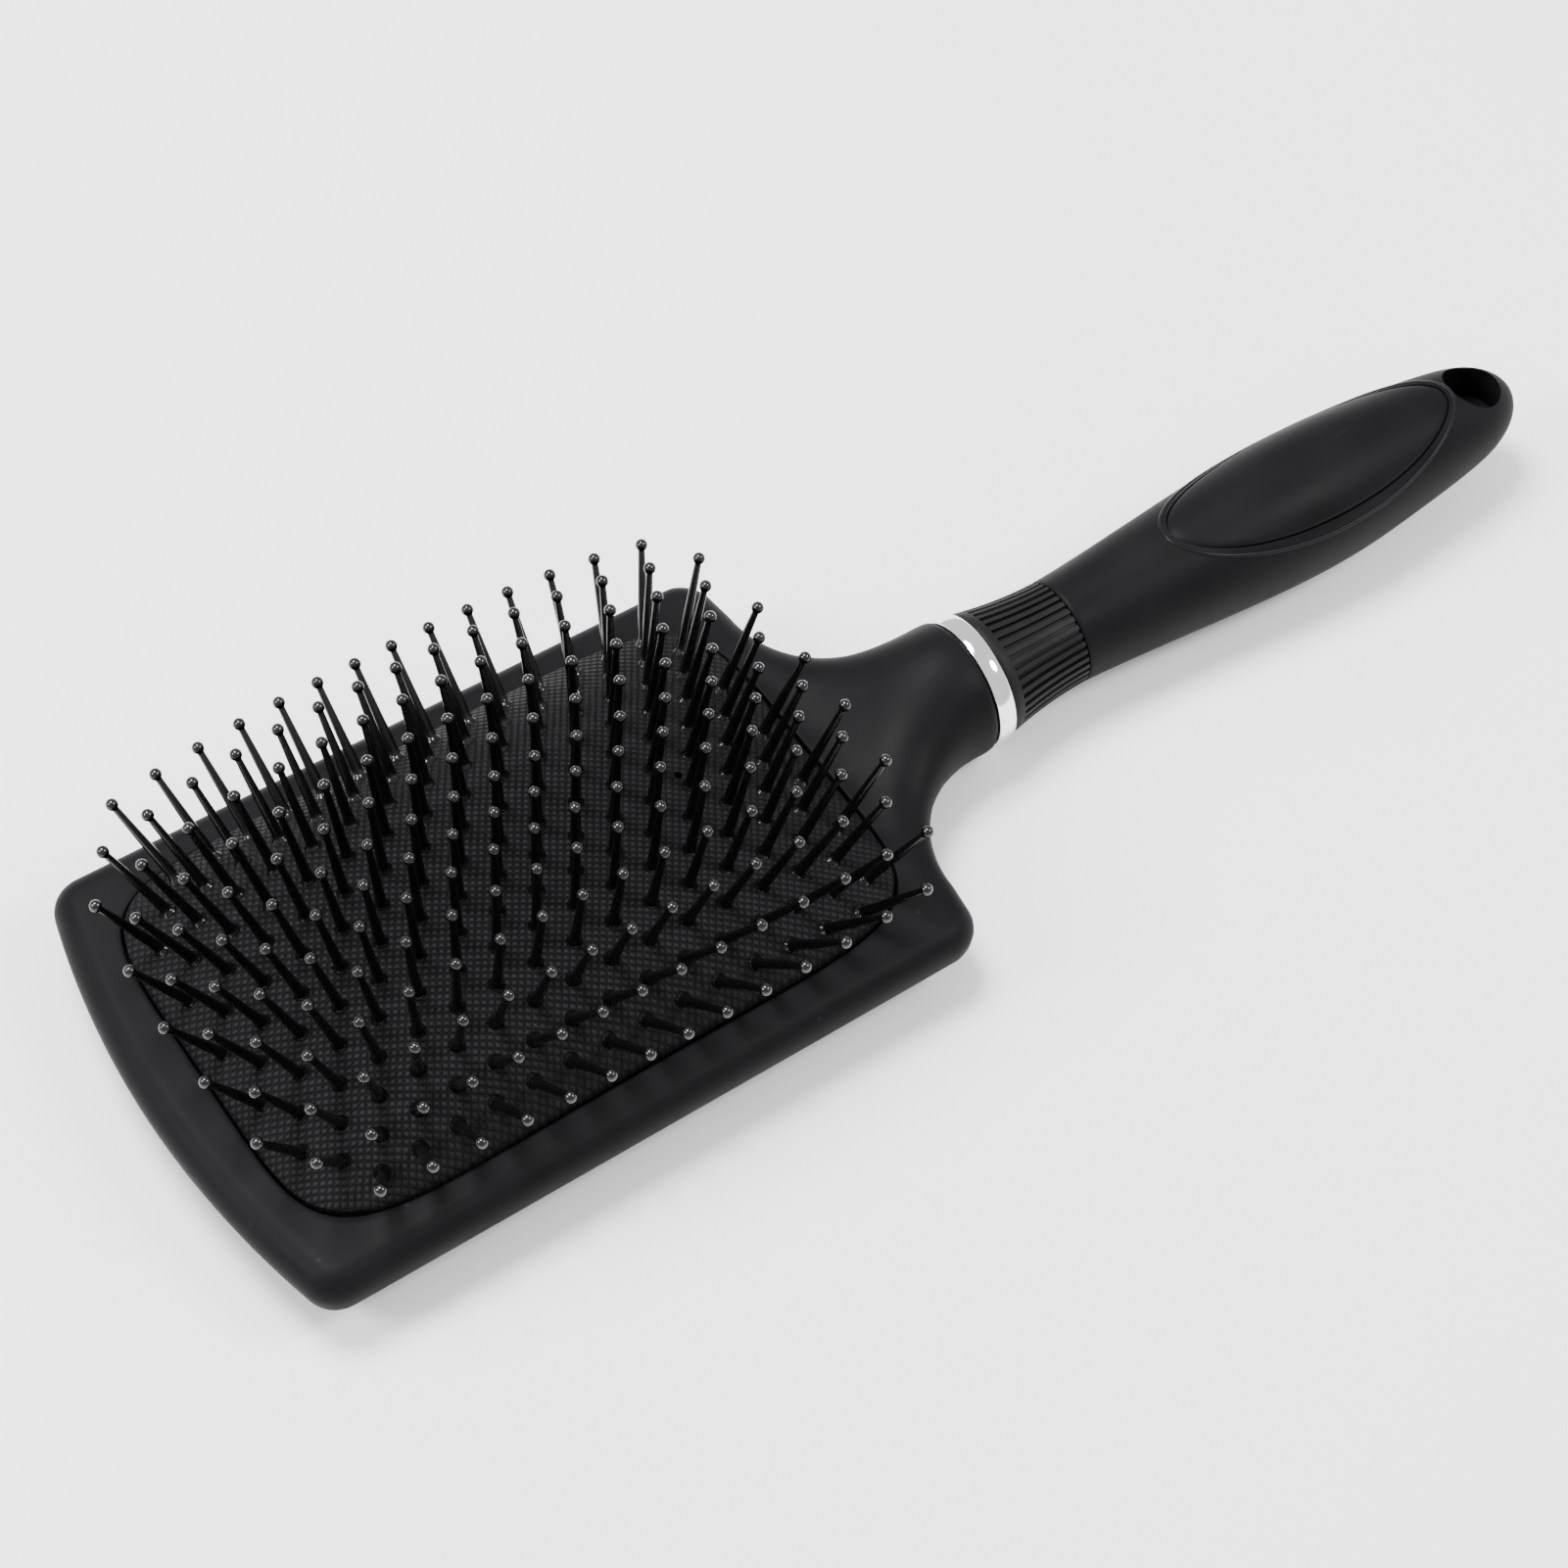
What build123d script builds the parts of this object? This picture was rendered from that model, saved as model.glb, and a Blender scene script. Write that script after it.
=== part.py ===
from build123d import *
import math
import os

# Paddle hair brush, lying on its back: +X runs from the head to the handle's tip, +Y across the
# head, +Z up through the bristles. The origin is the middle of the surface the brush lies on.
# Everything is in millimetres.

# ---- overall sizes ----
HEAD_WIDTH = 80.6
HEAD_THICKNESS = 14.0
HANDLE_RISE = 1.0            # degrees that the handle climbs towards its tip

# ---- head outline, measured from the cushion's centre ----
CUSHION_X = -62.3            # centre of the cushion along X
HEAD_END = -59.7             # middle of the bowed far end
HEAD_END_CORNER = -54.0      # where the bowed end meets the sides
HEAD_NEAR_CORNER = 55.3      # handle-side corners
NEAR_HALF_WIDTH = 39.0       # half width at the handle-side corners
SHOULDER_X = 75.0            # the concave shoulders run out into the neck here
SHOULDER_RADIUS = 18.6
CORNER_RADIUS = 5.5
RIM_TOP_ROUND = 4.0
BACK_ROUND = 9.6

# ---- cushion opening and what sits in it ----
OPENING_HALF_LENGTH = 51.6
OPENING_HALF_WIDTH = 34.6
OPENING_CORNER = 12.0
TRAY_FLOOR = 3.2             # plastic left under the air chamber
LEDGE_WIDTH = 3.4            # ledge that carries the cushion frame
LEDGE_Z = 9.4
FRAME_HEIGHT = 2.2
CUSHION_GAP = 0.35           # clearance round the cushion's edge
CUSHION_EDGE_Z = 12.0        # underside of the cushion's flat edge
CUSHION_WALL = 1.8
DOME_HEIGHT = 10.0
VENT_X, VENT_Y, VENT_RADIUS = 29.5, 2.4, 0.6
PRESS_TRAVEL = 2.5

# ---- bristles ----
ROW_COUNT = 13
PER_ROW = 15
ROW_PITCH = 5.1
PIN_PITCH = 6.42
PITCH_SHRINK = 0.0015        # outer rows close up as the flat rubber domes
FIELD_CENTRE_X = -0.6
PIN_LENGTH = 15.0            # from the rubber to the ball's centre
PIN_ROOT_RADIUS = 0.85
PIN_TIP_RADIUS = 0.5
BALL_RADIUS = 0.95
PIN_HEAD_RADIUS = 1.6
PIN_HEAD_HEIGHT = 0.8
CORNER_KEEP_OUT = 0.80       # no pin outside this share of the opening's rounded outline

# ---- neck, ring, collar and handle, along the handle's own axis from the ring ----
RING_X = 78.2                # from the cushion's centre
RING_RADIUS = 10.8
RING_WIDTH = 3.1
COLLAR_LENGTH = 15.0
COLLAR_RIBS = 38
GROOVE_DEPTH = 0.55
GROOVE_WIDTH = 0.6
COLLAR_LIP = 2.0
SPIGOT_RADIUS = 6.2
SPIGOT_LENGTH = 41.7
HANDLE_WALL = 2.2
HANDLE_BORE = 6.25
AXIS_Z = 10.85               # height of the handle's axis at the ring

# Handle radius at distances from the ring's head side.
HANDLE_PROFILE = [(18.2, 8.45), (26.8, 8.93), (36.8, 9.73), (46.8, 10.55), (56.8, 11.2),
                  (64.3, 11.38), (71.8, 11.13), (81.8, 10.12), (91.8, 8.81), (96.8, 7.9),
                  (101.8, 6.1), (104.8, 4.0)]
HANDLE_TIP = 106.3

# ---- thumb pad and hanging recess ----
PAD_CENTRE = 65.3
PAD_HALF_LENGTH = 26.5
PAD_HALF_WIDTH = 9.4
PAD_DEPTH = 1.3
PAD_GAP = 0.15
RECESS_X = 97.8
RECESS_RADIUS = 4.8
RECESS_TILT = 1.0            # turns the recess back upright against the handle's rise
RECESS_FLOOR = -1.2          # recess floor, from the handle's axis


def mirror_points(points):
    """The same outline points on the other side of the X axis, in reverse order."""
    return [(x, -y) for x, y in reversed(points)]


def head_outline():
    """Plan outline of head and neck, about the cushion's centre."""
    half = HEAD_WIDTH / 2
    shoulder_y = RING_RADIUS + SHOULDER_RADIUS
    start_x = SHOULDER_X - SHOULDER_RADIUS
    mid = SHOULDER_RADIUS * math.sqrt(0.5)
    far_side = [(HEAD_END_CORNER, half), (HEAD_NEAR_CORNER, NEAR_HALF_WIDTH), (start_x, shoulder_y)]
    near_side = mirror_points(far_side)
    arc_top = ((start_x, shoulder_y), (SHOULDER_X - mid, shoulder_y - mid), (SHOULDER_X, RING_RADIUS))
    arc_low = tuple((x, -y) for x, y in reversed(arc_top))
    edges = [Line(far_side[0], far_side[1]), Line(far_side[1], far_side[2]), ThreePointArc(*arc_top),
             Line((SHOULDER_X, RING_RADIUS), (SHOULDER_X, -RING_RADIUS)), ThreePointArc(*arc_low),
             Line(near_side[0], near_side[1]), Line(near_side[1], near_side[2]),
             ThreePointArc(near_side[2], (HEAD_END, 0), far_side[0])]
    return make_face(edges)


def opening(inset, z, height):
    """Prism with the cushion opening's rounded outline, inset all round."""
    outline = RectangleRounded(2 * (OPENING_HALF_LENGTH - inset), 2 * (OPENING_HALF_WIDTH - inset),
                               OPENING_CORNER - inset)
    return Pos(CUSHION_X, 0, z) * extrude(outline, height)


def on_handle(part):
    """Moves a part made along +X from the ring's head side to its place on the brush."""
    return Pos(CUSHION_X + RING_X, 0, AXIS_Z) * Rot(0, -HANDLE_RISE, 0) * part


def turned(points):
    """Solid of revolution about X from (x, radius) corners, closed along the axis if it reaches it."""
    profile = Polyline(*[(x, r) for x, r in points], close=True)
    return revolve(make_face(profile), Axis.X, 360)


def along_x(radius, start, length):
    """Plain cylinder along the handle's axis."""
    return Pos(start, 0, 0) * Rot(0, 90, 0) * Cylinder(radius, length, align=(Align.CENTER, Align.CENTER, Align.MIN))


def head_plate():
    """The flat paddle with its rounded corners and edges."""
    plate = extrude(head_outline(), HEAD_THICKNESS)
    corner_x = (HEAD_END_CORNER, HEAD_NEAR_CORNER)
    corners = [e for e in plate.edges().filter_by(Axis.Z)
               if any(abs(e.center().X - x) < 0.1 for x in corner_x)]
    plate = fillet(corners, CORNER_RADIUS)
    plate = fillet(plate.edges().group_by(Axis.Z)[-1].filter_by(lambda e: e.center().X < SHOULDER_X - 0.1),
                   RIM_TOP_ROUND)
    plate = fillet(plate.edges().group_by(Axis.Z)[0].filter_by(lambda e: e.center().X < SHOULDER_X - 0.1),
                   BACK_ROUND)
    return Pos(CUSHION_X, 0, 0) * plate


def neck():
    """Round neck that grows out of the paddle: each section is x, half width, underside, top."""
    sections = [(56.0, 22.0, 0.6, 13.6), (61.0, 17.3, 0.5, 15.4), (66.0, 13.2, 0.35, 18.6),
                (71.0, 11.3, 0.15, 20.9)]
    faces = []
    for x, half, low, high in sections:
        middle = Plane(origin=(CUSHION_X + x, 0, (low + high) / 2), x_dir=(0, 1, 0), z_dir=(1, 0, 0))
        faces.append(middle * Ellipse(half, (high - low) / 2))
    ring_plane = Plane(origin=(CUSHION_X + RING_X, 0, AXIS_Z), x_dir=(0, 1, 0), z_dir=(1, 0, 0))
    faces.append(ring_plane.rotated((0, -HANDLE_RISE, 0)) * Circle(RING_RADIUS - 0.15))
    return loft(faces)


def paddle_head():
    """Head moulding: paddle, neck and spigot, with the tray for the cushion."""
    body = head_plate() + neck()
    body += on_handle(along_x(SPIGOT_RADIUS, -6.0, SPIGOT_LENGTH + 6.0))
    groove = along_x(SPIGOT_RADIUS + 1, 0, 1.2) - along_x(SPIGOT_RADIUS - 0.7, -1, 4)
    for distance in (26.0, 36.0):
        body -= on_handle(Pos(distance, 0, 0) * groove)
    body -= opening(0, LEDGE_Z, HEAD_THICKNESS)
    body -= opening(LEDGE_WIDTH, TRAY_FLOOR, HEAD_THICKNESS)
    return body


def cushion_frame():
    """Plastic ring on the tray's ledge that backs the cushion's edge."""
    return opening(0.1, LEDGE_Z, FRAME_HEIGHT) - opening(LEDGE_WIDTH + 0.2, LEDGE_Z - 1, FRAME_HEIGHT + 2)


def dome_z(x, y):
    """Height of the rubber's outer surface, from the cushion's centre."""
    along = 1 - min(abs(x) / OPENING_HALF_LENGTH, 1) ** 2.5
    across = 1 - min(abs(y) / OPENING_HALF_WIDTH, 1) ** 3.8
    return HEAD_THICKNESS + DOME_HEIGHT * along * across


def dome_solid(inset, drop):
    """Domed block under the rubber's surface: stacked rounded outlines, lofted."""
    sections = []
    for height, shrink, corner in ((0.0, 0.0, 11.0), (4.4, 5.0, 9.0), (7.6, 11.0, 8.0), (9.5, 19.0, 6.0)):
        length = 2 * (OPENING_HALF_LENGTH - inset - 1.45 * shrink)
        width = 2 * (OPENING_HALF_WIDTH - inset - shrink)
        place = Plane(origin=(CUSHION_X, 0, HEAD_THICKNESS - drop + height))
        sections.append(place * RectangleRounded(length, width, corner - min(inset, 4)))
    return loft(sections)


def cushion_pad():
    """Air-filled rubber cushion: flat edge, domed skin, vent hole and the hollow under it."""
    edge = opening(CUSHION_GAP, CUSHION_EDGE_Z, HEAD_THICKNESS - CUSHION_EDGE_Z)
    pad = edge + dome_solid(CUSHION_GAP + 1.2, 0.0)
    hollow = opening(LEDGE_WIDTH, CUSHION_EDGE_Z - 1, 1 + HEAD_THICKNESS - CUSHION_EDGE_Z - CUSHION_WALL)
    pad -= hollow
    pad -= dome_solid(CUSHION_GAP + 1.2 + CUSHION_WALL, CUSHION_WALL)
    pad -= Pos(CUSHION_X + VENT_X, VENT_Y, HEAD_THICKNESS) * Cylinder(VENT_RADIUS, 40)
    return pad


def pin(x, y):
    """One bristle: flat head under the rubber, tapered shank and ball tip, leaning with the dome."""
    lean_x = 0.58 * math.copysign((abs(x) / 47) ** 2.2, x)
    lean_y = math.copysign((abs(y) / 29) ** 2.6, y) * (1 - 0.6 * (abs(x) / 52.2) ** 2.5)
    root = Location(Plane(origin=(CUSHION_X + x, y, dome_z(x, y)), z_dir=(lean_x, lean_y, 1)))
    buried = CUSHION_WALL + 0.9
    head_profile = [(0, -buried - PIN_HEAD_HEIGHT), (PIN_HEAD_RADIUS, -buried - PIN_HEAD_HEIGHT),
                    (PIN_HEAD_RADIUS, -buried), (PIN_ROOT_RADIUS, -buried), (PIN_ROOT_RADIUS, 1.0)]
    ball_joint = PIN_LENGTH - math.sqrt(BALL_RADIUS ** 2 - PIN_TIP_RADIUS ** 2)
    top = PIN_LENGTH + BALL_RADIUS
    outline = Polyline(*[(r, 0, z) for r, z in head_profile + [(PIN_TIP_RADIUS, ball_joint)]])
    ball = ThreePointArc((PIN_TIP_RADIUS, 0, ball_joint), (BALL_RADIUS, 0, PIN_LENGTH), (0, 0, top))
    spine = Line((0, 0, top), (0, 0, -buried - PIN_HEAD_HEIGHT))
    return root * revolve(make_face([*outline.edges(), ball, spine]), Axis.Z, 360)


def inside_field(x, y):
    """True where a pin still clears the opening's rounded corners."""
    return (abs(x) / OPENING_HALF_LENGTH) ** 5.5 + (abs(y) / OPENING_HALF_WIDTH) ** 5.5 < CORNER_KEEP_OUT


def bristle_row(number):
    """One row of pins along the brush; every other row is set half a pitch over."""
    step = number - (ROW_COUNT - 1) // 2
    shrink = 1 - PITCH_SHRINK * step * step
    y = ROW_PITCH * step * shrink
    shift = PIN_PITCH / 4 if step % 2 else -PIN_PITCH / 4
    places = [FIELD_CENTRE_X + shrink * (shift + PIN_PITCH * (i - (PER_ROW - 1) / 2)) for i in range(PER_ROW)]
    return Compound(children=[pin(x, y) for x in places if inside_field(x, y)])


def chrome_ring():
    """Plated band between neck and collar, slightly barrelled."""
    edge = RING_RADIUS - 0.35
    band = Polyline((0, SPIGOT_RADIUS), (0, edge))
    crown = ThreePointArc((0, edge), (RING_WIDTH / 2, RING_RADIUS), (RING_WIDTH, edge))
    back = Polyline((RING_WIDTH, edge), (RING_WIDTH, SPIGOT_RADIUS), (0, SPIGOT_RADIUS))
    return on_handle(revolve(make_face([*band.edges(), crown, *back.edges()]), Axis.X, 360))


def collar_radius(share):
    """Waisted outside of the collar, from the ring (0) to the handle (1)."""
    return 8.45 + 1.8 * (1 - share) ** 1.9


def grooved_collar():
    """Rubber collar with grooves that run along it and out at the handle's end."""
    start = RING_WIDTH
    steps = 6
    points = [(start + COLLAR_LENGTH * i / steps, collar_radius(i / steps)) for i in range(steps + 1)]
    outside = Spline(*points)
    rest = Polyline(points[-1], (points[-1][0], SPIGOT_RADIUS), (start, SPIGOT_RADIUS), points[0])
    sleeve = revolve(make_face([outside, *rest.edges()]), Axis.X, 360)
    inner = [(x, r - GROOVE_DEPTH) for x, r in points]
    slot_start = start + COLLAR_LIP
    floor = Spline(*inner)
    lid = Polyline(inner[-1], (points[-1][0] + 1, inner[-1][1]), (points[-1][0] + 1, RING_RADIUS + 1),
                   (start, RING_RADIUS + 1), inner[0])
    slot = extrude(Plane.XY * make_face([floor, *lid.edges()]), GROOVE_WIDTH / 2, both=True)
    slot &= Pos(slot_start + 15, 0, 0) * Box(30, 30, 30)
    slots = [Rot(360 * i / COLLAR_RIBS, 0, 0) * slot for i in range(COLLAR_RIBS)]
    return on_handle(sleeve - slots)


def handle_body(shrink):
    """The handle's turned outer shape, shrunk in radius by the given amount."""
    points = [(x, r - shrink) for x, r in HANDLE_PROFILE]
    tip = (HANDLE_TIP - shrink, 0)
    side = Spline(*points, tip, tangents=[(1, 0.03), (0, -1)], tangent_scalars=[1, 0.5])
    base = Polyline(tip, (points[0][0], 0), points[0])
    return revolve(make_face([side, *base.edges()]), Axis.X, 360)


def pad_prism(gap):
    """Upright oval prism over the thumb pad's place."""
    return Pos(PAD_CENTRE, 0, 0) * extrude(Ellipse(PAD_HALF_LENGTH + gap, PAD_HALF_WIDTH + gap), 20)


def recess_cutter():
    """Leaning round recess at the tip, with a flat floor."""
    bore = Cylinder(RECESS_RADIUS, 20, align=(Align.CENTER, Align.CENTER, Align.MIN))
    return Pos(RECESS_X, 0, RECESS_FLOOR) * Rot(0, RECESS_TILT, 0) * bore


def handle_shell():
    """Hollow handle with the spigot's bore, the thumb pad's pocket and the hanging recess."""
    outer = handle_body(0)
    pocket = (outer - handle_body(PAD_DEPTH)) & pad_prism(PAD_GAP)
    cavity = handle_body(HANDLE_WALL + PAD_DEPTH) & Pos(60, 0, 0) * Box(50, 30, 30)
    body = outer - cavity - along_x(HANDLE_BORE, 10, 26) - pocket
    return on_handle(body - recess_cutter())


def thumb_pad():
    """Soft oval pad let into the top of the handle."""
    skin = handle_body(0) - handle_body(PAD_DEPTH)
    return on_handle(skin & pad_prism(0))


def save(shape, name):
    export_step(shape, f"parts/{name}.step")


os.makedirs("parts", exist_ok=True)
save(paddle_head(), "paddle_head")
save(cushion_frame(), "cushion_frame")
save(cushion_pad(), "cushion_pad")
save(chrome_ring(), "chrome_ring")
save(grooved_collar(), "grooved_collar")
save(handle_shell(), "handle_shell")
save(thumb_pad(), "thumb_pad")
for row in range(ROW_COUNT):
    save(bristle_row(row), f"bristle_row_{row + 1:02d}")
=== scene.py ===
import math

import bmesh
import bpy
from bpy.props import FloatProperty, FloatVectorProperty, IntProperty, PointerProperty
from mathutils import Matrix, Vector


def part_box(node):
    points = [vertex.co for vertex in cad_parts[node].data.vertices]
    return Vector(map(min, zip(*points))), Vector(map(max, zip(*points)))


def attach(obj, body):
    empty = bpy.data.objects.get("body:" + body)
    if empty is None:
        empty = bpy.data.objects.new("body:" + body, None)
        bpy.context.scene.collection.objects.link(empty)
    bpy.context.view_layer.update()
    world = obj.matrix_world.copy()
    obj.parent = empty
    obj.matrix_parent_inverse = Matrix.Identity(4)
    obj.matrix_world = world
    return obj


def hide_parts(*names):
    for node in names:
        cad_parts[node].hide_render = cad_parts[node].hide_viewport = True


bl_info = {
    "name": "Paddle Hair Brush",
    "version": (1, 0, 0),
    "blender": (4, 5, 0),
    "location": "3D View > Sidebar > Hair Brush",
    "description": "Builds a cushioned paddle hair brush round its packed CAD frame",
    "category": "Add Mesh",
}

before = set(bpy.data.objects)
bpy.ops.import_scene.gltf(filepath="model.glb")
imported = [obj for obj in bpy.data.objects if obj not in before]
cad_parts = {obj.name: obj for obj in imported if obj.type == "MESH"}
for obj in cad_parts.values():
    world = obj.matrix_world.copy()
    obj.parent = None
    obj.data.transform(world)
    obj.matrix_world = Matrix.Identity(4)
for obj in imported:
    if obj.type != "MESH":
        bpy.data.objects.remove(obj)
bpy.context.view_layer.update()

MM = 0.001

# ---- places taken from the frame, in metres ----
HEAD_LOW, HEAD_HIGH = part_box("paddle_head")
EDGE_LOW, EDGE_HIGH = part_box("cushion_frame")
PAD_LOW, PAD_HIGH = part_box("cushion_pad")
RING_LOW, RING_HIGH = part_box("chrome_ring")
COLLAR_LOW, COLLAR_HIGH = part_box("grooved_collar")
SHELL_LOW, SHELL_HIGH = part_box("handle_shell")
OVAL_LOW, OVAL_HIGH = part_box("thumb_pad")
ROWS = [f"bristle_row_{n:02d}" for n in range(1, 14)]

CUSHION_X = (PAD_LOW.x + PAD_HIGH.x) / 2
CUSHION_HALF_LENGTH = (PAD_HIGH.x - PAD_LOW.x) / 2
CUSHION_HALF_WIDTH = (PAD_HIGH.y - PAD_LOW.y) / 2
DATUM_X = CUSHION_X + 78.2 * MM          # head side of the chrome ring, on the handle's axis
DATUM_Z = 10.85 * MM
RISE = math.radians(1.0)                 # the handle climbs this much towards its tip

# ---- head outline, in metres from the cushion's centre ----
SHOULDER_CENTRE_X = 75.0 * MM
SHOULDER_RADIUS = 18.6 * MM
NECK_HALF_WIDTH = 10.8 * MM
NECK_END = 78.05 * MM
HEAD_HALF_WIDTH = (HEAD_HIGH.y - HEAD_LOW.y) / 2
NEAR_HALF_WIDTH = 39.0 * MM
CORNER_X = 55.3 * MM
FAR_CORNER_X = 54.0 * MM
HEAD_END_X = CUSHION_X - HEAD_LOW.x
CORNER_ROUND = 5.5 * MM


class HairBrushSizes(bpy.types.PropertyGroup):
    """Sizes of the visible pieces that a user would change."""
    head_thickness: FloatProperty(
        name="Head Thickness", description="Thickness of the flat paddle",
        default=14.0 * MM, unit='LENGTH')
    rim_round: FloatProperty(
        name="Rim Rounding", description="Edge radius round the top of the paddle",
        default=4.0 * MM, unit='LENGTH')
    back_reach: FloatProperty(
        name="Back Rounding Width", description="How far in the back's edge rounding starts",
        default=15.5 * MM, unit='LENGTH')
    back_fall: FloatProperty(
        name="Back Rounding Height", description="Height of the back's edge rounding",
        default=9.9 * MM, unit='LENGTH')
    dome_height: FloatProperty(
        name="Cushion Dome", description="Height of the rubber cushion above the rim",
        default=10.0 * MM, unit='LENGTH')
    pin_length: FloatProperty(
        name="Pin Length", description="From the rubber to the centre of the ball tip",
        default=15.0 * MM, unit='LENGTH')
    ball_radius: FloatProperty(
        name="Ball Radius", description="Radius of the ball at the tip of each pin",
        default=0.92 * MM, unit='LENGTH')
    collar_ribs: IntProperty(
        name="Collar Ribs", description="Number of ribs round the rubber collar", default=38, min=8)
    groove_depth: FloatProperty(
        name="Groove Depth", description="Depth of the grooves between the collar's ribs",
        default=0.55 * MM, unit='LENGTH')
    bead_radius: FloatProperty(
        name="Bead Radius", description="Radius of the bead round the thumb pad",
        default=0.34 * MM, unit='LENGTH')


class HairBrushColours(bpy.types.PropertyGroup):
    """Colours of the finishes, as linear values."""
    soft_black: FloatVectorProperty(
        name="Soft Black", description="Soft-touch coating of head and handle",
        subtype='COLOR', default=(0.0036, 0.0036, 0.0040), min=0, max=1)
    cushion_black: FloatVectorProperty(
        name="Cushion Black", description="Rubber of the cushion",
        subtype='COLOR', default=(0.0016, 0.0016, 0.0018), min=0, max=1)
    pin_black: FloatVectorProperty(
        name="Pin Black", description="Nylon of the pins",
        subtype='COLOR', default=(0.0013, 0.0013, 0.0015), min=0, max=1)
    grip_black: FloatVectorProperty(
        name="Grip Black", description="Rubber of the grooved collar",
        subtype='COLOR', default=(0.0026, 0.0026, 0.0029), min=0, max=1)
    chrome: FloatVectorProperty(
        name="Chrome", description="Plated ring", subtype='COLOR',
        default=(0.88, 0.88, 0.90), min=0, max=1)
    floor: FloatVectorProperty(
        name="Floor", description="Plain pale floor", subtype='COLOR',
        default=(0.9, 0.9, 0.9), min=0, max=1)


# ======================================================================
# Small helpers
# ======================================================================
def smooth_step(value, low, high):
    """0 below low, 1 above high, and a smooth climb between."""
    t = min(max((value - low) / (high - low), 0.0), 1.0)
    return t * t * (3 - 2 * t)


def handle_matrix():
    """Place of the handle's own axis on the brush."""
    return Matrix.Translation((DATUM_X, 0, DATUM_Z)) @ Matrix.Rotation(-RISE, 4, 'Y')


def make_piece(name, verts, faces, material, body, replaced):
    """A smooth-shaded mesh object that rides on a body and stands for CAD nodes."""
    mesh = bpy.data.meshes.new(name)
    mesh.from_pydata([tuple(v) for v in verts], [], faces)
    mesh.validate()
    tidy_mesh(mesh)
    piece = bpy.data.objects.new(name, mesh)
    bpy.context.scene.collection.objects.link(piece)
    mesh.materials.append(material)
    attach(piece, body)
    if replaced:
        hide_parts(*replaced)
    return piece


def tidy_mesh(mesh, merge=1e-6):
    """Joins doubled points, turns every face outwards and shades it smooth."""
    work = bmesh.new()
    work.from_mesh(mesh)
    bmesh.ops.remove_doubles(work, verts=work.verts, dist=merge)
    bmesh.ops.recalc_face_normals(work, faces=work.faces)
    for face in work.faces:
        face.smooth = True
    work.to_mesh(mesh)
    work.free()


def crease_angle(piece, degrees):
    """Keeps edges sharper than this angle crisp under smooth shading."""
    limit = math.radians(degrees)
    work = bmesh.new()
    work.from_mesh(piece.data)
    for edge in work.edges:
        edge.smooth = len(edge.link_faces) == 2 and edge.calc_face_angle(0) < limit
    work.to_mesh(piece.data)
    work.free()


def grid_faces(rows, columns, wrap, start=0):
    """Quads of a grid of points stored row by row; wrap closes each row on itself."""
    faces = []
    for i in range(rows - 1):
        for j in range(columns if wrap else columns - 1):
            k = (j + 1) % columns
            a, b = start + i * columns, start + (i + 1) * columns
            faces.append((a + j, a + k, b + k, b + j))
    return faces


def turned_mesh(profile, sides):
    """Points and faces turned about X from (x, radius) pairs, with closed ends."""
    verts, rings = [], []
    for x, radius in profile:
        rings.append(len(verts))
        for j in range(sides):
            a = math.tau * j / sides
            verts.append(Vector((x, radius * math.sin(a), radius * math.cos(a))))
    faces = grid_faces(len(profile), sides, True)
    if profile[0] != profile[-1]:
        faces.append(tuple(reversed(range(sides))))
        last = rings[-1]
        faces.append(tuple(range(last, last + sides)))
    return verts, faces


def apply_boolean(piece, cutter, solver='EXACT'):
    """Cuts the cutter out of the piece and throws the cutter away."""
    step = piece.modifiers.new("cut", 'BOOLEAN')
    step.operation = 'DIFFERENCE'
    step.solver = solver
    step.object = cutter
    bpy.context.view_layer.update()
    graph = bpy.context.evaluated_depsgraph_get()
    made = bpy.data.meshes.new_from_object(piece.evaluated_get(graph))
    piece.modifiers.remove(step)
    old = piece.data
    piece.data = made
    made.name = old.name
    bpy.data.meshes.remove(old)
    bpy.data.objects.remove(cutter)
    for face in made.polygons:
        face.use_smooth = True


def loose_object(name, verts, faces):
    """A plain object used only as a cutter."""
    mesh = bpy.data.meshes.new(name)
    mesh.from_pydata([tuple(v) for v in verts], [], faces)
    tidy_mesh(mesh)
    thing = bpy.data.objects.new(name, mesh)
    bpy.context.scene.collection.objects.link(thing)
    return thing


# ======================================================================
# Shader groups shared by the finishes
# ======================================================================
def new_group(name, inputs, outputs):
    """An empty shader group with named float inputs and typed outputs."""
    group = bpy.data.node_groups.new(name, 'ShaderNodeTree')
    for label, default in inputs:
        socket = group.interface.new_socket(label, in_out='INPUT', socket_type='NodeSocketFloat')
        socket.default_value = default
    for label, kind in outputs:
        group.interface.new_socket(label, in_out='OUTPUT', socket_type=kind)
    entry = group.nodes.new('NodeGroupInput')
    leave = group.nodes.new('NodeGroupOutput')
    return group, entry, leave


def math_node(tree, operation, first, second=None, clamp=False):
    """A maths node fed by sockets or plain numbers."""
    node = tree.nodes.new('ShaderNodeMath')
    node.operation = operation
    node.use_clamp = clamp
    for index, value in enumerate((first, second)):
        if value is None:
            continue
        if isinstance(value, (int, float)):
            node.inputs[index].default_value = value
        else:
            tree.links.new(value, node.inputs[index])
    return node.outputs[0]


def noise_node(tree, vector, scale, detail=3.0):
    """Noise over the given coordinates; the scale may be a socket."""
    node = tree.nodes.new('ShaderNodeTexNoise')
    node.inputs["Detail"].default_value = detail
    tree.links.new(vector, node.inputs["Vector"])
    if isinstance(scale, (int, float)):
        node.inputs["Scale"].default_value = scale
    else:
        tree.links.new(scale, node.inputs["Scale"])
    return node.outputs["Fac"]


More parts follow.
